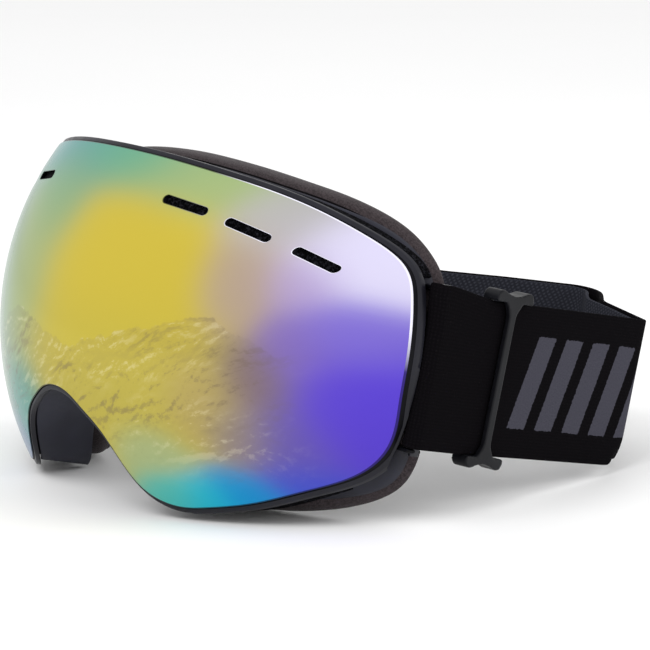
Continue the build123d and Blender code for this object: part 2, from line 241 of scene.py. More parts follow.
def new_object(name, verts, faces, uvs=None, smooth=True):
    """An object in the row frame from row-frame vertices, faces and, if given, a UV for each vertex."""
    mesh = bpy.data.meshes.new(name)
    mesh.from_pydata([tuple(v) for v in verts], [], [tuple(int(i) for i in f) for f in faces])
    if uvs is not None:
        layer = mesh.uv_layers.new(name="UVMap")
        corner = np.zeros(len(mesh.loops), np.int32)
        mesh.loops.foreach_get("vertex_index", corner)
        layer.data.foreach_set("uv", np.asarray(uvs, np.float32)[corner].ravel())
    mesh.validate()
    made = bpy.data.objects.new(name, mesh)
    bpy.context.scene.collection.objects.link(made)
    tidy_normals(made)
    if smooth:
        mesh.polygons.foreach_set("use_smooth", np.ones(len(mesh.polygons), bool))
    return made


def tidy_normals(made):
    bm = bmesh.new()
    bm.from_mesh(made.data)
    bmesh.ops.recalc_face_normals(bm, faces=bm.faces)
    bm.to_mesh(made.data)
    bm.free()


def settle(made, sharp_deg=40):
    """Applies the modifiers and marks the edges sharper than this angle."""
    graph = bpy.context.evaluated_depsgraph_get()
    mesh = bpy.data.meshes.new_from_object(made.evaluated_get(graph))
    made.modifiers.clear()
    made.data = mesh
    mesh.polygons.foreach_set("use_smooth", np.ones(len(mesh.polygons), bool))
    mesh.set_sharp_from_angle(angle=math.radians(sharp_deg))
    return made


def grid_faces(rings, around, close_rings=True):
    """Quads between rings of points; the last ring joins the first unless close_rings is off."""
    faces = []
    for r in range(rings if close_rings else rings - 1):
        a, b = r * around, ((r + 1) % rings) * around
        for i in range(around):
            j = (i + 1) % around
            faces.append((a + i, a + j, b + j, b + i))
    return faces


def swept(name, rings, sharp_deg=50):
    """A closed tube-like ring from profile rings of equal length, in the wearer's frame."""
    around = len(rings[0])
    points = np.concatenate(rings)
    length = np.arange(around) / around
    across = np.arange(len(rings)) / len(rings)
    uvs = [(u, v) for v in across for u in length]
    made = new_object(name, row(points), grid_faces(len(rings), around), uvs)
    made.data.set_sharp_from_angle(angle=math.radians(sharp_deg))
    return made


def ride(made, body, material, slot_name, *nodes):
    made.data.materials.clear()
    made.data.materials.append(material)
    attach(made, body)
    if nodes:
        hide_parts(*nodes)
    return made


# ---------------------------------------------------------------- materials
class Nodes:
    """A material's node tree, with the few node kinds that these finishes need."""

    def __init__(self, name):
        self.material = bpy.data.materials.new(name)
        self.material.use_nodes = True
        self.tree = self.material.node_tree
        self.shader = next(n for n in self.tree.nodes if n.type == "BSDF_PRINCIPLED")
        self.coords = self.tree.nodes.new("ShaderNodeTexCoord")

    def link(self, value, socket):
        if isinstance(value, bpy.types.NodeSocket):
            self.tree.links.new(value, socket)
        elif value is not None:
            socket.default_value = value

    def mapped(self, source="Object", scale=(1, 1, 1), turn=(0, 0, 0)):
        node = self.tree.nodes.new("ShaderNodeMapping")
        self.link(self.coords.outputs[source], node.inputs["Vector"])
        node.inputs["Scale"].default_value = scale
        node.inputs["Rotation"].default_value = turn
        return node.outputs["Vector"]

    def grain(self, angle, stretch, shift=(0, 0)):
        """Flat coordinates turned by an angle and drawn out along it by 1 / stretch."""
        turned = self.tree.nodes.new("ShaderNodeMapping")
        self.link(self.coords.outputs["UV"], turned.inputs["Vector"])
        turned.inputs["Rotation"].default_value = (0, 0, -angle)
        turned.inputs["Location"].default_value = (*shift, 0)
        drawn = self.tree.nodes.new("ShaderNodeMapping")
        self.link(turned.outputs["Vector"], drawn.inputs["Vector"])
        drawn.inputs["Scale"].default_value = (stretch, 1, 1)
        return drawn.outputs["Vector"]

    def noise(self, vector, scale, detail=2.0, rough=0.5, distortion=0.0):
        node = self.tree.nodes.new("ShaderNodeTexNoise")
        self.link(vector, node.inputs["Vector"])
        node.inputs["Scale"].default_value = scale
        node.inputs["Detail"].default_value = detail
        node.inputs["Roughness"].default_value = rough
        node.inputs["Distortion"].default_value = distortion
        return node.outputs["Fac"]

    def cells(self, vector, scale):
        node = self.tree.nodes.new("ShaderNodeTexVoronoi")
        self.link(vector, node.inputs["Vector"])
        node.inputs["Scale"].default_value = scale
        return node.outputs["Distance"]

    def wave(self, vector, scale, distortion, direction):
        node = self.tree.nodes.new("ShaderNodeTexWave")
        node.bands_direction = direction
        self.link(vector, node.inputs["Vector"])
        node.inputs["Scale"].default_value = scale
        node.inputs["Distortion"].default_value = distortion
        node.inputs["Detail"].default_value = 1.0
        return node.outputs["Fac"]

    def math(self, kind, a, b=None):
        node = self.tree.nodes.new("ShaderNodeMath")
        node.operation = kind
        for value, socket in zip((a, b), node.inputs):
            self.link(value, socket)
        return node.outputs[0]

    def spread(self, value, low, high, out_low=0.0, out_high=1.0):
        """Smooth step of a value between low and high."""
        node = self.tree.nodes.new("ShaderNodeMapRange")
        node.interpolation_type = "SMOOTHSTEP"
        for key, number in (("Value", value), ("From Min", low), ("From Max", high)):
            self.link(number, node.inputs[key])
        node.inputs["To Min"].default_value = out_low
        node.inputs["To Max"].default_value = out_high
        return node.outputs["Result"]

    def mix(self, factor, a, b):
        node = self.tree.nodes.new("ShaderNodeMix")
        node.data_type = "RGBA"
        sockets = [s for s in node.inputs if s.type == "RGBA"]
        self.link(factor, node.inputs["Factor"])
        for value, socket in zip((a, b), sockets):
            self.link((*value, 1.0) if isinstance(value, tuple) else value, socket)
        return next(s for s in node.outputs if s.type == "RGBA")

    def split(self, source):
        node = self.tree.nodes.new("ShaderNodeSeparateXYZ")
        self.link(source, node.inputs[0])
        return node.outputs

    def attribute(self, name):
        node = self.tree.nodes.new("ShaderNodeAttribute")
        node.attribute_name = name
        return node.outputs["Color"]

    def bump(self, height, strength, distance):
        node = self.tree.nodes.new("ShaderNodeBump")
        self.link(height, node.inputs["Height"])
        node.inputs["Strength"].default_value = strength
        node.inputs["Distance"].default_value = distance
        self.link(node.outputs["Normal"], self.shader.inputs["Normal"])

    def set(self, **values):
        for key, value in values.items():
            self.link(value, self.shader.inputs[key.replace("_", " ").title().replace("Ior", "IOR")])
        return self.material


def plastic(name, dark, light, roughness, grain=1.0, level=0.3):
    """Satin moulded plastic: fine spark-eroded grain, faint flow mottling, a soft coat of gloss."""
    n = Nodes(name)
    place = n.mapped()
    mottle = n.noise(place, 60, 4, 0.6)
    fine = n.noise(place, 3200, 2, 0.7)
    n.set(base_color=n.mix(n.spread(mottle, 0.3, 0.7), dark, light))
    n.set(roughness=n.spread(n.noise(place, 240, 3), 0.25, 0.75, roughness - 0.06, roughness + 0.08))
    n.bump(fine, 0.25 * grain, 0.00008)
    n.shader.inputs["Specular IOR Level"].default_value = level
    return n.material


def open_foam(name, dark, light):
    """Open-cell filter foam: small dark pores with paler walls."""
    n = Nodes(name)
    place = n.mapped()
    pores = n.cells(place, 1500)
    walls = n.spread(pores, 0.25, 0.75)
    patch = n.noise(place, 700, 3, 0.7)
    tone = n.math("MULTIPLY", walls, n.spread(patch, 0.35, 0.75))
    n.set(base_color=n.mix(tone, dark, light), roughness=0.95)
    n.bump(walls, 0.9, 0.0004)
    n.shader.inputs["Specular IOR Level"].default_value = 0.05
    return n.material


def soft_foam(name, dark, light, sheen):
    """Brushed foam skin: short nap with mottled tone."""
    n = Nodes(name)
    place = n.mapped()
    nap = n.noise(place, 1500, 5, 0.75)
    cloud = n.noise(place, 110, 4, 0.6)
    fibres = n.math("MULTIPLY", n.spread(nap, 0.38, 0.62), 0.65)
    tone = n.math("ADD", fibres, n.math("MULTIPLY", cloud, 0.35))
    n.set(base_color=n.mix(tone, dark, light), roughness=0.95)
    n.bump(nap, 0.55, 0.0003)
    n.shader.inputs["Sheen Weight"].default_value = sheen
    n.shader.inputs["Sheen Roughness"].default_value = 0.5
    n.shader.inputs["Specular IOR Level"].default_value = 0.05
    return n.material


def linear(colour):
    return tuple(c / 12.92 if c <= 0.04045 else ((c + 0.055) / 1.055) ** 2.4 for c in colour)


def webbing_material():
    """Near-black fine knit; a woven-in motif of slanted grey bars runs along the wearer's left side."""
    n = Nodes("webbing_knit")
    place = n.mapped("UV")
    along, across = n.split(place)[0], n.split(place)[1]
    columns = n.wave(place, 330, 1.5, "Y")
    courses = n.wave(place, 380, 2.0, "X")
    knit = n.math("MULTIPLY", columns, courses)
    fuzz = n.noise(place, 2600, 3, 0.7)
    speck = n.spread(n.noise(place, 1900, 1, 0.5), 0.68, 0.78)
    tone = n.math("ADD", n.math("MULTIPLY", knit, 0.3), n.math("MULTIPLY", fuzz, 0.7))
    ground = n.mix(tone, (0.0006, 0.0005, 0.0008), (0.0062, 0.0052, 0.0066))
    ground = n.mix(n.math("MULTIPLY", speck, 0.3), ground, (0.030, 0.026, 0.026))
    rough_edge = n.math("MULTIPLY", n.math("SUBTRACT", n.noise(place, 1300, 2), 0.5), 0.0011)
    slanted = n.math("ADD", n.math("ADD", along, n.math("MULTIPLY", across, -0.26)), rough_edge)
    phase = n.math("FRACT", n.math("DIVIDE", n.math("SUBTRACT", slanted, MOTIF_START), MOTIF_PITCH))
    bar = n.math("LESS_THAN", phase, 0.62)
    high = n.math("LESS_THAN", n.math("ABSOLUTE", n.math("ADD", across, rough_edge)), MOTIF_HALF_HEIGHT)
    after = n.math("GREATER_THAN", slanted, MOTIF_START)
    before = n.math("LESS_THAN", slanted, MOTIF_END)
    motif = n.math("MULTIPLY", n.math("MULTIPLY", bar, high), n.math("MULTIPLY", after, before))
    grey = n.mix(n.noise(place, 2200, 3, 0.8), (0.018, 0.018, 0.026), (0.085, 0.083, 0.105))
    n.set(base_color=n.mix(motif, ground, grey), roughness=0.9)
    raised = n.math("ADD", tone, n.math("MULTIPLY", motif, 0.5))
    n.bump(raised, 0.5, 0.0002)
    n.shader.inputs["Specular IOR Level"].default_value = 0.03
    return n.material


def lining_material():
    """Dark grey diagonal knit."""
    n = Nodes("lining_knit")
    place = n.mapped("UV", turn=(0, 0, math.radians(32)))
    ribs = n.wave(place, 230, 2.0, "X")
    stitches = n.wave(n.mapped("UV", turn=(0, 0, math.radians(-50))), 300, 2.5, "X")
    fuzz = n.noise(n.mapped("UV"), 1500, 4, 0.7)
    knit = n.math("MULTIPLY", n.math("MULTIPLY", ribs, stitches), 0.6)
    tone = n.math("ADD", knit, n.math("MULTIPLY", fuzz, 0.5))
    n.set(base_color=n.mix(tone, (0.007, 0.0075, 0.011), (0.050, 0.052, 0.066)), roughness=0.95)
    n.bump(tone, 0.7, 0.0003)
    n.shader.inputs["Specular IOR Level"].default_value = 0.05
    return n.material


def coating_and_highlight_colours(points):
    """The coating's colour at (x, z) points, painted highlight included: the zones' colours, weighed by how
    near each zone is.
    """
    total, weight = np.zeros((len(points), 3)), np.zeros(len(points))
    for x, z, reach_x, reach_z, colour in COATING_AND_HIGHLIGHT:
        w = np.exp(-(((points[:, 0] - x) / reach_x) ** 2 + ((points[:, 1] - z) / reach_z) ** 2)) + 1e-9
        total += w[:, None] * np.array(linear(colour)) * COATING_TONE
        weight += w
    return total / weight[:, None]


def mirror_material():
    """Multi-layer mirror coating, its colours with a painted highlight, and a faint painted reflection of a
    hill range low in the lens, shaded as if lit from one side.
    """
    n = Nodes("lens_coating")
    across, up = n.split(n.mapped("UV"))[:2]
    base = n.attribute("coating")
    # Painted reflection of a hill range: its ridge line from the peaks, roughened by jagged noise.
    ridge = -1.0
    for middle, height, left_fall, right_fall in PEAKS:
        from_peak = n.math("SUBTRACT", across, middle)
        right, left = n.math("MULTIPLY", from_peak, right_fall), n.math("MULTIPLY", from_peak, -left_fall)
        fall = n.math("MAXIMUM", right, left)
        ridge = n.math("MAXIMUM", ridge, n.math("SUBTRACT", height, fall))
    jagged = n.noise(n.mapped("UV", scale=(1, 0.2, 1)), 210, 6, 0.6)
    ridge = n.math("ADD", ridge, n.math("MULTIPLY", n.math("SUBTRACT", jagged, 0.5), 0.007))
    below = n.spread(n.math("SUBTRACT", ridge, up), 0.0, 0.0007)
    painted_hill_reflection = n.math("MULTIPLY", below, n.spread(up, -0.051, -0.030))
    painted_hill_reflection = n.math("MULTIPLY", painted_hill_reflection, n.spread(across, 0.078, 0.054))
    painted_hill_reflection = n.math("MULTIPLY", painted_hill_reflection, n.spread(across, -0.052, -0.034))
    # Painted light on the reflected slopes: two offset noises shade them as if lit from one side; lit slopes
    # turn pale, shaded slopes dark.
    lit = n.noise(n.grain(STRATA, 0.5), 92, 12, 0.68, 0.3)
    shaded = n.noise(n.grain(STRATA, 0.5, (0.0008, 0.0012)), 92, 12, 0.68, 0.3)
    relief = n.math("SUBTRACT", lit, shaded)
    patch = n.spread(n.noise(n.grain(STRATA, 0.5), 34, 4, 0.55), 0.40, 0.58)
    painted_lit_snow = n.math("MULTIPLY", n.spread(relief, 0.01, 0.085), n.spread(patch, -0.15, 1.0))
    painted_shaded_rock = n.math("MULTIPLY", n.spread(relief, -0.005, -0.08), n.spread(patch, 1.3, 0.0))
    haze = n.mix(n.math("MULTIPLY", painted_hill_reflection, 0.14), base, (0.13, 0.10, 0.10))
    colour = n.mix(n.math("MULTIPLY", n.math("MULTIPLY", painted_shaded_rock, painted_hill_reflection), 0.48), haze, (0.14, 0.10, 0.07))
    pale = n.mix(0.45, base, (0.95, 0.88, 0.62))
    colour = n.mix(n.math("MULTIPLY", n.math("MULTIPLY", painted_lit_snow, painted_hill_reflection), 0.42), colour, pale)
    n.set(base_color=colour, roughness=0.2, metallic=0.3)
    n.shader.inputs["Specular IOR Level"].default_value = 0.08
    n.shader.inputs["Coat Weight"].default_value = 0.10
    n.shader.inputs["Coat Roughness"].default_value = 0.02
    return n.material


SLATE = plastic("frame_slate", (0.010, 0.0102, 0.0165), (0.021, 0.0215, 0.033), 0.5, level=0.28)
# The nose tunnel's plastic: a lighter copy of the frame's slate; the extra lightness is painted light that
# offsets the shade under the bridge.
LIGHTENED_NOSE_SLATE = plastic("nose_slate_painted_light", (0.016, 0.0165, 0.026), (0.030, 0.031, 0.046), 0.55, level=0.25)
# The lip's and flange's plastic: a near-black copy of the frame's slate, painted shade of the recess between
# the lens and the rail.
RECESS_SHADE = plastic("frame_recess_painted_shade", (0.002, 0.002, 0.003), (0.005, 0.005, 0.008), 0.6, level=0.12)
BEAD = plastic("bead_slate", (0.007, 0.007, 0.011), (0.013, 0.013, 0.019), 0.34, 0.5, level=0.24)
EDGE = plastic("lens_edge", (0.001, 0.001, 0.002), (0.003, 0.003, 0.005), 0.45, 0.3, level=0.1)
SATIN = plastic("slider_satin", (0.0045, 0.0047, 0.0062), (0.009, 0.0094, 0.012), 0.38, 0.8, level=0.15)
PORES = open_foam("vent_foam_black", (0.0008, 0.0008, 0.0012), (0.020, 0.020, 0.026))
# The base layer's foam is near black: a painted shadow line between the rail and the brown cushion.
SHADOW_LINE_FOAM = soft_foam("foam_base", (0.002, 0.0018, 0.002), (0.007, 0.006, 0.007), 0.0)
BROWN_FOAM = soft_foam("foam_brown", (0.017, 0.0135, 0.0145), (0.058, 0.046, 0.050), 0.12)
FLEECE = soft_foam("fleece_velour", (0.018, 0.014, 0.0145), (0.056, 0.046, 0.046), 0.3)
WEBBING_KNIT = webbing_material()
LINING_KNIT = lining_material()
COATED = mirror_material()


# ---------------------------------------------------------------- outer lens
LENS_LOOP = closed_curve(HALF_LENS)


def slot_loop(ends, grow=0.0):
    """A slot's outline in (x, z), seen square to the lens so that it keeps its width on the sphere."""
    (x0, z0), (x1, z1) = ends
    middle = np.array([(x0 + x1) / 2, (z0 + z1) / 2])
    along = np.array([x1 - x0, z1 - z0])
    half = np.linalg.norm(along) / 2
    along /= 2 * half
    across = np.array([-along[1], along[0]])
    slope_x = math.sqrt(1 - (middle[0] / LENS_R) ** 2)
    radius = SLOT_WIDTH / 2 + grow
    points = []
    for side, start in ((1, -90), (-1, 90)):
        for k in range(13):
            a = math.radians(start + 180 * k / 12)
            local = np.array([math.cos(a) * slope_x, math.sin(a)]) * radius
            points.append(middle + along * (half * side + local[0]) + across * local[1])
    return np.array(points)


def inside(points, loop):
    x, z = points[:, 0][:, None], points[:, 1][:, None]
    x0, z0 = loop[:, 0], loop[:, 1]
    x1, z1 = np.roll(x0, -1), np.roll(z0, -1)
    crosses = ((z0 > z) != (z1 > z)) & (x < (x1 - x0) * (z - z0) / (z1 - z0 + 1e-12) + x0)
    return crosses.sum(1) % 2 == 1


def lens_sheet(rim, holes, spacing=2.2):
    """Triangles over the lens between its rim and the slots, as (x, z) points and faces."""
    loops = [rim] + holes
    points, edges, start = [], [], 0
    for loop in loops:
        points.append(loop)
        edges += [(start + i, start + (i + 1) % len(loop)) for i in range(len(loop))]
        start += len(loop)
    xs, zs = np.arange(-90, 90, spacing), np.arange(-58, 46, spacing)
    gx, gz = np.meshgrid(xs, zs)
    gx[1::2] += spacing / 2
    fill = np.column_stack([gx.ravel(), gz.ravel()])
    keep = inside(fill, grown(rim, -1.0))
    for hole in holes:
        keep &= ~inside(fill, hole + (hole - hole.mean(0)) * 0.35)
    points.append(fill[keep])
    flat = np.concatenate(points)
    verts, _, faces, *_ = delaunay_2d_cdt([Vector(p) for p in flat], edges, [], 0, 1e-6)
    verts = np.array([tuple(v) for v in verts])
    middles = np.array([verts[list(f)].mean(0) for f in faces])
    good = inside(middles, rim)
    for hole in holes:
        good &= ~inside(middles, hole)
    return verts, [f for f, ok in zip(faces, good) if ok]


def make_lens():
    front_rim = grown(LENS_LOOP, -RIM_BEVEL)
    slots = SLOTS + [tuple((-x, z) for x, z in ends) for ends in SLOTS]
    holes = [slot_loop(ends) for ends in slots]
    wide = [slot_loop(ends, SLOT_BEVEL) for ends in slots]
    flat, faces = lens_sheet(front_rim, wide)
    verts = [placed(flat, sphere_y(flat, 0, LENS_R))]
    faces = [list(f) for f in faces]
    colours = [0] * len(faces)
    back_flat, back_faces = lens_sheet(LENS_LOOP, holes, 4.4)
    count = len(flat)
    verts.append(placed(back_flat, ball_y(back_flat, 0)))
    faces += [[count + i for i in reversed(f)] for f in back_faces]
    colours += [1] * len(back_faces)
    count += len(back_flat)
    loops = [(front_rim, LENS_LOOP, RIM_BEVEL)] + [(w, h, SLOT_DROP) for w, h in zip(wide, holes)]
    bevels = []
    for front, wall, drop in loops:
        n = len(front)
        bevels.append((count, count + 2 * n))
        verts += [
            placed(front, sphere_y(front, 0, LENS_R)), placed(wall, sphere_y(wall, 0, LENS_R) + drop),
            placed(wall, ball_y(wall, 0)),
        ]
        for ring, paint in ((0, 0), (1, 1)):
            a, b = count + ring * n, count + (ring + 1) * n
            for i in range(n):
                j = (i + 1) % n
                faces.append([a + i, a + j, b + j, b + i])
                colours.append(paint)
        count += 3 * n
    points = np.concatenate(verts)
    made = new_object("lens_mirrored", row(points), faces, points[:, (0, 2)] / 1000)
    mesh = made.data
    paint = np.array(colours, np.int32)
    mesh.materials.append(COATED)
    mesh.materials.append(EDGE)
    mesh.polygons.foreach_set("material_index", paint)
    shade = mesh.attributes.new("coating", "FLOAT_COLOR", "POINT")
    rgba = np.ones((len(points), 4), np.float32)
    rgba[:, :3] = coating_and_highlight_colours(points[:, (0, 2)])
    # The rim's and slots' bevels are dimmed to 0.3 of the coating's colour and blend to near white towards the
    # upper part of the wearer's left side, a painted highlight.
    for first, last in bevels:
        x, z = points[first:last, 0], points[first:last, 2]
        painted_highlight = (np.clip((x - 38) / 14, 0, 1) * np.clip((z + 4) / 12, 0, 1))[:, None]
        dim = rgba[first:last, :3] * 0.3
        rgba[first:last, :3] = dim * (1 - painted_highlight) + np.array([0.80, 0.79, 0.90]) * painted_highlight
    shade.data.foreach_set("color", rgba.ravel())
    mesh.set_sharp_from_angle(angle=math.radians(25))
    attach(made, "lens_unit")
    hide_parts("outer_lens")


make_lens()


# ---------------------------------------------------------------- carrier, frame wall, rail and vents
def rim_rings(profile, tall=1.0):
    """Rings round the lens from an (offset, depth) profile: depth is behind the lens's inner face."""
    rings = []
    for offset, depth in profile:
        loop = grown(LENS_LOOP, offset, offset * (tall if offset > 0 else 1.0))
        rings.append(placed(loop, ball_y(loop, depth)))
    return rings


def relieved(rings, low=-33.5, high=28.5):
    """Keeps the carrier clear of the strap's fold beside each temple."""
    for ring in rings:
        near = (np.abs(ring[:, 0]) > BESIDE_STRAP_X) & (ring[:, 2] > low) & (ring[:, 2] < high)
        ring[near, 1] = np.minimum(ring[near, 1], CARRIER_LIMIT_Y)
    return rings


bead_profile = rounded(
    [(0.45, -0.95), (0.45, 0.95), (-2.6, 0.95), (-2.6, 0.10), (0.04, 0.10), (0.04, -0.95)], 0.16, 3
)
bead = swept("lens_bead", relieved(rim_rings(bead_profile, 3.1)))
ride(bead, "lens_unit", BEAD, "frame_plastic", "lens_carrier")
lip_profile = rounded([(-1.7, 1.1), (-1.7, 4.05), (-2.9, 4.05), (-2.9, 1.1)], 0.3)
lip_rings = relieved(rim_rings(lip_profile))
wall_front = ball_y(grown(LENS_LOOP, WALL_OFFSET), WALL_FRONT)
for ring in lip_rings:
    ring[:, 1] = np.minimum(ring[:, 1], wall_front - 0.3)
ride(swept("lens_lip", lip_rings), "lens_unit", RECESS_SHADE, "frame_plastic")

flange_profile = rounded([(-1.7, 4.5), (-1.7, 6.0), (-6.8, 6.0), (-6.8, 4.5)], 0.4)
flange = swept("frame_flange", rim_rings(flange_profile))
ride(flange, "frame", RECESS_SHADE, "frame_plastic", "frame_shell")

FOAM_LOOP = closed_curve(HALF_FOAM)
PORT_LOOP = closed_curve(HALF_PORT)


def between_loops(share):
    """The loop this share of the way from the foam's outer outline to the eye port."""
    return FOAM_LOOP * (1 - share) + PORT_LOOP * share


def clear_of_lugs(loop, limit=81.9):
    """Notches a loop beside the lugs and the strap's fold."""
    out = loop.copy()
    for side in (1, -1):
        x = out[:, 0] * side
        amount = np.clip((21.9 - loop[:, 1]) / 0.8, 0, 1) * np.clip((loop[:, 1] + 27.4) / 0.8, 0, 1)
        out[:, 0] = np.where(x > limit, side * (x + (limit - x) * amount), out[:, 0])
    return out


def temple(loop):
    """0 over the face, rising to 1 at either temple."""
    t = np.clip((np.abs(loop[:, 0]) - TEMPLE_START) / TEMPLE_RUN, 0, 1)
    return t * t * (3 - 2 * t)


def rail_y(loop):
    return sphere_y(loop, *RAIL_DOME) + FRONT_SETBACK * temple(loop)


def make_rail():
    """The rail that carries the foam: its outer edge is a lip, its inner edge follows the eye port."""
    outer_edge = ((-4.2, 0.0), (-3.3, -0.3), (-2.8, -0.1), (-2.6, 0.35), (-2.6, 1.6), (-2.9, 1.95))
    rear_face = ((0.3, 1.95), (0.65, 1.95), (0.97, 1.95), (1.0, 1.6))
    front_face = ((1.0, 0.35), (0.97, 0.0), (0.65, 0.0), (0.3, 0.0))
    rings = []
    for grow, drop in outer_edge:
        loop = grown(FOAM_LOOP, grow)
        spread = FOAM_LOOP - grown(FOAM_LOOP, -2.0)
        loop = clear_of_lugs(loop + spread * temple(FOAM_LOOP)[:, None])
        rings.append(placed(loop, rail_y(loop) + drop))
    for share, drop in rear_face + front_face:
        loop = clear_of_lugs(between_loops(share))
        rings.append(placed(loop, rail_y(loop) + drop))
    return swept("frame_rail", rings)


ride(make_rail(), "frame", SLATE, "frame_plastic")


def wall_patch(name, chosen, windows=(), offset=WALL_OFFSET, thick=2.0, front=WALL_FRONT):
    """A stretch of the side wall between the flange and the rail, with its vent windows."""
    loop = grown(LENS_LOOP, offset)
    first, last = ball_y(loop, front), rail_y(loop) + 0.4
    beside_strap = (np.abs(loop[:, 0]) > BESIDE_STRAP_X) & (loop[:, 1] < 21.5) & (loop[:, 1] > -27.2)
    last = np.maximum(np.where(beside_strap, np.minimum(last, WALL_LIMIT_Y), last), first + 0.3)
    low = np.maximum(ball_y(loop, 7.2), first)
    high = np.maximum(np.minimum(rail_y(loop) - 1.2, last), low + 0.01)
    rows = [first, low] + [low + (high - low) * k / 6 for k in range(1, 6)] + [high, last]
    verts = np.concatenate([placed(loop, y) for y in rows])
    faces = []
    for r in range(len(rows) - 1):
        for i in range(AROUND):
            j = (i + 1) % AROUND
            middle = (loop[i] + loop[j]) / 2
            if not chosen(middle):
                continue
            open_here = any(
                abs(abs(middle[0]) - x) < width / 2 and up * middle[1] > 28 for x, width, up in windows
            )
            if open_here and 0 < r < len(rows) - 2 and high[i] - low[i] > 0.8:
                continue
            faces.append((r * AROUND + i, r * AROUND + j, (r + 1) * AROUND + j, (r + 1) * AROUND + i))
    made = new_object(name, row(verts), faces)
    bm = bmesh.new()
    bm.from_mesh(made.data)
    bmesh.ops.delete(bm, geom=[v for v in bm.verts if not v.link_faces], context="VERTS")
    bm.to_mesh(made.data)
    bm.free()
    solid = made.modifiers.new("thickness", "SOLIDIFY")
    solid.thickness, solid.offset = thick / 1000, 0.0
    round_off = made.modifiers.new("edges", "BEVEL")
    round_off.width, round_off.segments, round_off.limit_method = 0.00025, 2, "ANGLE"
    round_off.angle_limit = math.radians(50)
    return settle(made)


def in_nose(place):
    return abs(place[0]) < NOSE_HALF_WIDTH and place[1] < NOSE_TOP


brow = [(x, width, 1) for x, width in WINDOWS]
cheek = [(x, width, -1) for x, width in LOWER_WINDOWS]
shell = wall_patch("frame_wall", lambda p: not in_nose(p), brow + cheek)
ride(shell, "frame", SLATE, "frame_plastic")
tunnel = wall_patch("nose_tunnel", in_nose, offset=-0.7, thick=1.5, front=1.9)
ride(tunnel, "frame", LIGHTENED_NOSE_SLATE, "frame_plastic", "nose_bridge")


def vent_band(name, chosen):
    return wall_patch(name, chosen, offset=-1.25, thick=1.2, front=6.4)


brow_foam = vent_band("vent_foam_brow", lambda p: abs(p[0]) < 83.5 and p[1] > 21.5)
ride(brow_foam, "frame", PORES, "foam_black", "top_vent_foam")
for side, label in SIDES:
    strip = vent_band("vent_foam_cheek_" + label, lambda p: 45 < side * p[0] < 73 and p[1] < -30)
    ride(strip, "frame", PORES, "foam_black", "lower_vent_foam_" + label)


# ---------------------------------------------------------------- lugs and pins
def rounded_block(name, x, y, z, radius):
    bm = bmesh.new()
    bmesh.ops.create_cube(bm, size=1)
    for v in bm.verts:
        corner = [(a[0] + a[1]) / 2 + c * (a[1] - a[0]) for a, c in zip((x, y, z), v.co)]
        v.co = row_point(*corner)
    mesh = bpy.data.meshes.new(name)
    bm.to_mesh(mesh)
    bm.free()
    made = bpy.data.objects.new(name, mesh)
    bpy.context.scene.collection.objects.link(made)
    bevel = made.modifiers.new("edges", "BEVEL")
    bevel.width, bevel.segments = radius / 1000, 4
    return settle(made)


for side, label in SIDES:
    for place, low in LUG_LOW_Z.items():
        xs = sorted(side * x for x in LUG_X)
        ear = rounded_block("lug_" + place + "_" + label, xs, LUG_Y, (low, low + LUG_THICKNESS), 0.5)
        ride(ear, "frame", EDGE, "frame_plastic")


# ---------------------------------------------------------------- face foam
def foam_y(loop, dome):
    """A dome's depth, set further back at the temples, where the foam turns to meet the face."""
    setback = REAR_SETBACK if dome[1] == CUSHION_REAR[1] else FRONT_SETBACK
    return sphere_y(loop, *dome) + setback * temple(loop)


def foam_rings(inset, across, front, rear, crown, steps):
    """Rings round one foam layer between two domes; the sides crown outwards by this much."""
    outer, inner = [], []
    for k in range(steps + 1):
        t = k / steps
        swell = crown * math.sin(math.pi * t) ** 0.6
        for store, grow, loop in ((outer, swell, FOAM_LOOP), (inner, -swell, PORT_LOOP)):
            shape = clear_of_lugs(grown(loop, grow + (inset if loop is FOAM_LOOP else -inset)))
            y0, y1 = foam_y(shape, front), foam_y(shape, rear)
            store.append(placed(shape, y0 + (y1 - y0) * t))
    rear_face, front_face = [], []
    for share in np.linspace(0, 1, across + 2)[1:-1]:
        a, b = grown(FOAM_LOOP, inset), grown(PORT_LOOP, -inset)
        loop = clear_of_lugs(a * (1 - share) + b * share)
        rear_face.append(placed(loop, foam_y(loop, rear) + 0.5 * math.sin(math.pi * share)))
        front_face.append(placed(loop, foam_y(loop, front)))
    return outer + rear_face + inner[::-1] + front_face[::-1]


# The base layer, in near-black foam, draws the painted shadow line beside the rail.
foam_base = swept("face_foam_base_layer", foam_rings(-2.2, 2, BASE_FRONT, BASE_REAR, 0.1, 4), 70)
ride(foam_base, "frame", SHADOW_LINE_FOAM, "foam_brown", "face_foam_base")
foam_soft = swept("face_foam_cushion", foam_rings(-1.4, 3, CUSHION_FRONT, CUSHION_REAR, 1.9, 12), 70)
ride(foam_soft, "frame", BROWN_FOAM, "foam_brown", "face_foam_soft")
fleece = swept("face_fleece_layer", foam_rings(-1.7, 4, CUSHION_REAR, FLEECE_REAR, 0.45, 4), 70)
ride(fleece, "frame", FLEECE, "fleece", "face_fleece")


# ---------------------------------------------------------------- strap
def path_of(stations, cut):
    """A smooth line through stations: each corner is rounded from this far before it."""
    p = np.array(stations, float)
    out = [p[0]]
    for i in range(1, len(p) - 1):
        a, b, c = p[i - 1], p[i], p[i + 1]
        start = b + (a - b) * min(cut / np.linalg.norm(a - b), 0.48)
        end = b + (c - b) * min(cut / np.linalg.norm(c - b), 0.48)
        for t in np.linspace(0, 1, 9):
            out.append((1 - t) ** 2 * start + 2 * t * (1 - t) * b + t**2 * end)
    out.append(p[-1])
    return np.array(out)


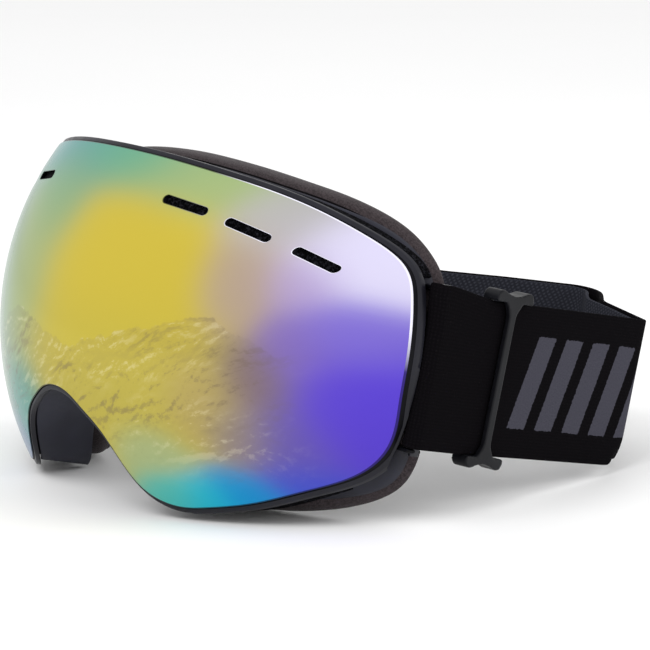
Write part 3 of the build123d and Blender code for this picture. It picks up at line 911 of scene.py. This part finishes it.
def fold_shape(points):
    """The webbing's set as it lies: its fold is slack in front of each pin, and the outer corner lifts."""
    x, y, z = points.T
    lean = (1.0 + 1.2 * np.clip((z - 10) / 8, 0, 1)) * np.clip((78 - y) / 9, 0, 1)
    rise = 2.3 * np.clip((z - 4) / 14, 0, 1) * np.clip((92 - y) / 18, 0, 1)
    corner = np.exp(-(((y - 168.0) / 3.0) ** 2)) * np.clip((x - 60) / 10, 0, 1)
    lift = corner * np.clip((-z - 14) / 10, 0, 1) ** 2
    return np.column_stack([x - 1.0 * lift, y - lean - 1.5 * lift, z + rise + 2.4 * lift])


def ribbon(name, line, width, thick, spacing=0.7):
    """Webbing on edge along a line: rounded edges, UVs in metres along it and across it."""
    run = np.concatenate([[0], np.cumsum(np.linalg.norm(np.diff(line, axis=0), axis=1))])
    count = int(run[-1] / spacing)
    at = np.linspace(0, run[-1], count + 1)
    mid = np.column_stack([np.interp(at, run, line[:, k]) for k in range(3)])
    along = np.gradient(mid[:, :2], axis=0)
    along /= np.linalg.norm(along, axis=1)[:, None]
    across = np.column_stack([along[:, 1], -along[:, 0]])
    half, edge = thick / 2, width / 2
    section = rounded([(half, edge), (half, -edge), (-half, -edge), (-half, edge)], half * 0.9, 3)
    dense = []
    for i in range(len(section)):
        a, b = section[i], section[(i + 1) % len(section)]
        pieces = 18 if abs(b[1] - a[1]) > width / 2 else 1
        dense += [a + (b - a) * k / pieces for k in range(pieces)]
    verts, uvs = [], []
    for k in range(count + 1):
        for n, w in dense:
            verts.append((mid[k, 0] + across[k, 0] * n, mid[k, 1] + across[k, 1] * n, mid[k, 2] + w))
            uvs.append((at[k] / 1000, w / 1000))
    m = len(dense)
    faces = grid_faces(count + 1, m, close_rings=False)
    faces += [tuple(range(m)), tuple(count * m + i for i in reversed(range(m)))]
    made = new_object(name, row(fold_shape(np.array(verts))), faces, uvs)
    made.data.set_sharp_from_angle(angle=math.radians(75))
    return made


def round_pin(side, degrees):
    """The webbing's middle at an angle round a strap pin, mirrored for the right-hand one."""
    a = math.radians(degrees)
    return (side * (PIN_X + LOOP_R * math.cos(a)), PIN_Y + LOOP_R * math.sin(a), STRAP_MID_Z)


def half_turn(side, start, sweep, steps=18):
    return np.array([round_pin(side, start + sweep * k / steps) for k in range(steps + 1)])


def strap_line():
    """The webbing's whole path: left tail, round the left pin, the loop, round the right pin, right tail."""
    mid = STRAP_MID_Z
    left_tail = [(86.1, 88.6, mid), (87.3, 79.5, mid)]
    left_out = [(89.9, 79.5, mid), (88.0, 90.2, mid), (*LEFT_SLIDER, SLIDER_MID_Z), (77.5, 155.8, -1.1)]
    right_out = [(-72.5, 90.2, mid), (-84.9, 78.8, mid)]
    right_tail = [(-83.4, 77.3, mid), (-73.9, 86.0, mid)]
    start = path_of(left_tail + [round_pin(1, 180)], 1.5)
    loop = half_turn(1, 180, 180)
    body = [tuple(loop[-1])] + left_out + FOLD + BACK + RIGHT_BAND + right_out
    body = path_of(body + [round_pin(-1, 405)], 3.0)
    other = half_turn(-1, 405, -180)
    end = path_of([tuple(other[-1])] + right_tail, 1.5)
    return np.concatenate([start[:-1], loop, body[1:-1], other, end[1:]])


strap = ribbon("strap_webbing_band", strap_line(), STRAP_WIDTH, WEBBING)
strap.data.materials.append(WEBBING_KNIT)
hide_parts("strap_webbing", "strap_end_left", "strap_end_right")
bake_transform(strap)

lining = ribbon("strap_lining_band", path_of(LINING_PATH, 2.0), STRAP_WIDTH - 1, LINING)
ride(lining, "strap", LINING_KNIT, "lining", "strap_lining")


# ---------------------------------------------------------------- sliders
def prism(outline_points, low, high):
    """Closed prism between two levels along its first axis, as vertices and faces."""
    n = len(outline_points)
    verts = [(level, y, z) for level in (low, high) for y, z in outline_points]
    faces = [tuple(range(n)), tuple(2 * n - 1 - i for i in range(n))]
    faces += [(i, (i + 1) % n, n + (i + 1) % n, n + i) for i in range(n)]
    return verts, faces


def slider(name, middle, along):
    """Tri-glide: two bone-shaped ends, an outer centre bar that flares into them and two inner side bars."""
    reach, end, waist, throat = 8.7, 26.9, 25.3, 23.7
    top = [(-reach, throat - 0.4), (-reach, 25.2), (-7.6, 26.7), (-6.0, end), (-3.4, 25.9), (0, waist)]
    top += [(-y, z) for y, z in reversed(top[:-1])]
    cap = rounded(top, 0.9, 5)
    parts = []
    for up in (1, -1):
        parts.append(prism([(y, up * z) for y, z in cap][::up], -2.9, 2.9))
    flare = [(1.5, 0)] + [(1.5 + 3.6 * t**2.2, 18.0 + 6.2 * t) for t in np.linspace(0, 1, 9)]
    right = flare[::-1][:-1] + [(y, -z) for y, z in flare[1:]]
    bar = right + [(-y, z) for y, z in reversed(right)]
    parts.append(prism(bar, 1.15, 2.95))
    for side in (-1, 1):
        ys = sorted((side * (reach - 2.9), side * (reach - 0.1)))
        parts.append(prism([(ys[0], -24.5), (ys[1], -24.5), (ys[1], 24.5), (ys[0], 24.5)], -2.95, -1.15))
    verts, faces = [], []
    for part_verts, part_faces in parts:
        faces += [tuple(i + len(verts) for i in f) for f in part_faces]
        verts += part_verts
    out = (along[1], -along[0])
    turned = [
        (middle[0] + n * out[0] + y * along[0], middle[1] + n * out[1] + y * along[1], SLIDER_MID_Z + z)
        for n, y, z in verts
    ]
    made = new_object(name, row(turned), faces, smooth=False)
    solid = made.modifiers.new("solid", "REMESH")
    solid.mode, solid.voxel_size = "VOXEL", 0.00028
    soften = made.modifiers.new("soften", "SMOOTH")
    soften.factor, soften.iterations = 0.5, 6
    return settle(made, 80)


def heading(start, end):
    length = math.hypot(end[0] - start[0], end[1] - start[1])
    return (end[0] - start[0]) / length, (end[1] - start[1]) / length


left = slider("adjuster_left", LEFT_SLIDER, heading(*LEFT_RUN))
ride(left, "left_adjuster", SATIN, "slider_plastic", "slider_left")
right = slider("adjuster_right", RIGHT_SLIDER, heading(*RIGHT_RUN))
ride(right, "right_adjuster", SATIN, "slider_plastic", "slider_right")


# ---------------------------------------------------------------- CAD nodes that stay
def steel():
    n = Nodes("pin_steel")
    scratches = n.noise(n.mapped(scale=(1, 1, 0.05)), 4000, 3)
    n.set(base_color=n.mix(scratches, (0.030, 0.030, 0.034), (0.075, 0.075, 0.08)), metallic=1.0)
    n.set(roughness=n.spread(scratches, 0.2, 0.8, 0.25, 0.45))
    return n.material


def clear_sheet():
    n = Nodes("inner_lens_clear")
    haze = n.noise(n.mapped(), 90, 3)
    n.set(base_color=n.mix(haze, (0.55, 0.50, 0.42), (0.62, 0.57, 0.48)))
    n.set(roughness=n.spread(haze, 0.2, 0.8, 0.03, 0.09))
    n.shader.inputs["Transmission Weight"].default_value = 0.9
    n.shader.inputs["IOR"].default_value = 1.49
    return n.material


def dress(node, material):
    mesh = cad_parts[node].data
    mesh.materials.clear()
    mesh.materials.append(material)


STEEL = steel()
for node in ("strap_pin_left", "strap_pin_right"):
    dress(node, STEEL)
for node in ("lens_gasket", "lens_vent_foam_left", "lens_vent_foam_right"):
    dress(node, PORES)
dress("inner_lens", clear_sheet())

# ---------------------------------------------------------------- floor, light and camera
scene = bpy.context.scene
scene.view_settings.view_transform = "Standard"
FLOOR_REACH, FLOOR_Z = 6, -0.0002
corners = [(x * FLOOR_REACH, y * FLOOR_REACH, FLOOR_Z) for x, y in ((-1, -1), (1, -1), (1, 1), (-1, 1))]
floor = new_object("floor", corners, [(0, 1, 2, 3)])
paper = Nodes("floor_paper")
tint = paper.noise(paper.mapped(), 3, 3)
paper_tone = paper.mix(tint, (0.86, 0.86, 0.86), (0.90, 0.90, 0.90))
floor.data.materials.append(paper.set(base_color=paper_tone, roughness=0.8))

world = bpy.data.worlds.new("studio")
world.use_nodes = True
background = world.node_tree.nodes["Background"]
background.inputs["Color"].default_value = (1.0, 1.0, 1.0, 1.0)
background.inputs["Strength"].default_value = 0.95
scene.world = world


def soft_box(name, place, target, size, watts):
    data = bpy.data.lights.new(name, "AREA")
    data.shape, data.size, data.size_y, data.energy = "RECTANGLE", size[0], size[1], watts
    light = bpy.data.objects.new(name, data)
    light.location = place
    light.visible_glossy = False
    light.rotation_euler = (Vector(target) - Vector(place)).to_track_quat("-Z", "Y").to_euler()
    scene.collection.objects.link(light)


soft_box("key", (0.2, -0.9, 1.1), (0, 0, 0.05), (0.9, 0.6), 9)
soft_box("rim", (0.9, 0.9, 0.7), (0, 0.02, 0.06), (0.6, 0.6), 6)

# The camera's place in metres, the columns of its right, up and back axes, and its focal length
CAMERA_AT = Vector((0.864106, -0.685067, 0.269047))
VIEW = Matrix(((0.62528, -0.15711, 0.76442), (0.78040, 0.12546, -0.61256), (0.00033, 0.97958, 0.20105)))
FOCAL_LENGTH, SENSOR_WIDTH = 197.93, 36.0
camera_data = bpy.data.cameras.new("camera")
camera_data.lens, camera_data.sensor_width = FOCAL_LENGTH, SENSOR_WIDTH
camera = bpy.data.objects.new("camera", camera_data)
camera.matrix_world = Matrix.Translation(CAMERA_AT) @ VIEW.to_4x4()
scene.collection.objects.link(camera)
scene.camera = camera
